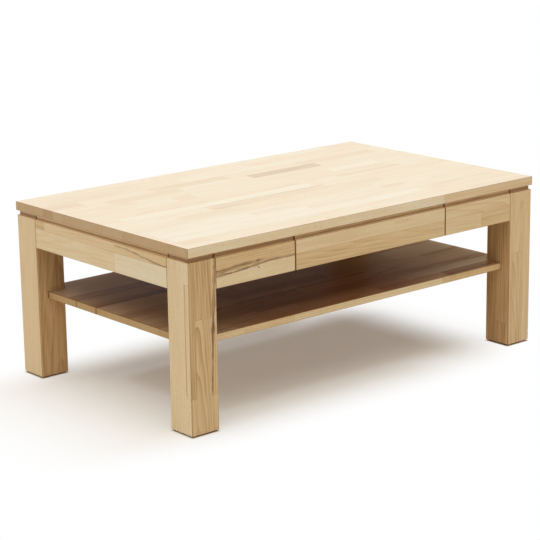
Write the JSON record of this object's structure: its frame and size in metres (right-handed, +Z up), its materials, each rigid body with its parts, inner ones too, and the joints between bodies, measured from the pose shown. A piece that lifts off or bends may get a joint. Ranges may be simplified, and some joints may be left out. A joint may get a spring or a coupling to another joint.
{
  "type": "storage coffee table",
  "caption": "Low rectangular coffee table in solid beech staves, with square legs, a shadow gap under the top, a handleless drawer in the long apron and a lower shelf.",
  "frame": {"origin": "on the floor, below the middle of the top", "axes": "+X along the table to the right, +Y from the drawer side to the back, +Z up"},
  "size_m": [1.15, 0.7, 0.45],
  "materials": {
    "beech_oiled": "oiled, satin",
    "beech_plain": "planed, bare",
    "beech_drawer": "sanded, bare",
    "plywood": "sanded, bare",
    "zinc_steel": "zinc plated",
    "slide_steel": "bright zinc",
    "glide_plastic": "matte"
  },
  "bodies": {
    "frame": {"table_top": "beech_oiled", "leg_front_left": "beech_oiled", "leg_front_right": "beech_oiled", "leg_rear_right": "beech_oiled", "leg_rear_left": "beech_oiled", "apron_front_left": "beech_oiled", "apron_front_right": "beech_oiled", "apron_right": "beech_oiled", "apron_rear": "beech_oiled", "apron_left": "beech_oiled", "shelf": "beech_oiled", "drawer_cheek_left": "beech_plain", "drawer_cheek_right": "beech_plain", "corner_brace_front_left": "beech_plain", "corner_brace_front_right": "beech_plain", "corner_brace_rear_right": "beech_plain", "corner_brace_rear_left": "beech_plain", "hanger_bolts": "zinc_steel", "hanger_bolt_washers": "zinc_steel", "hanger_bolt_nuts": "zinc_steel", "brace_screws": "zinc_steel", "apron_dowels": "beech_plain", "cheek_dowels": "beech_plain", "top_brackets": "zinc_steel", "top_bracket_screws": "zinc_steel", "foot_glides": "glide_plastic", "slide_outer_left": "slide_steel", "slide_outer_right": "slide_steel", "slide_outer_screws": "zinc_steel"},
    "drawer": {"drawer_front": "beech_oiled", "drawer_box_front": "beech_drawer", "drawer_side_left": "beech_drawer", "drawer_side_right": "beech_drawer", "drawer_back": "beech_drawer", "drawer_bottom": "plywood", "slide_inner_left": "slide_steel", "slide_inner_right": "slide_steel", "slide_inner_screws": "zinc_steel", "drawer_front_screws": "zinc_steel"},
    "ball_cage_left": {"ball_cage_left": "slide_steel", "balls_left": "slide_steel"},
    "ball_cage_right": {"ball_cage_right": "slide_steel", "balls_right": "slide_steel"}
  },
  "joints": [
    {"name": "drawer_slide", "type": "slide", "parent": "frame", "child": "drawer", "axis": [0, -1, 0], "range_m": [0, 0.3]},
    {"name": "ball_cage_left_run", "type": "slide", "parent": "frame", "child": "ball_cage_left", "axis": [0, -1, 0], "range_m": [0, 0.15]},
    {"name": "ball_cage_right_run", "type": "slide", "parent": "frame", "child": "ball_cage_right", "axis": [0, -1, 0], "range_m": [0, 0.15]}
  ],
  "couplings": [
    {"joint": "ball_cage_left_run", "follows": "drawer_slide", "ratio": 0.5},
    {"joint": "ball_cage_right_run", "follows": "drawer_slide", "ratio": 0.5}
  ]
}
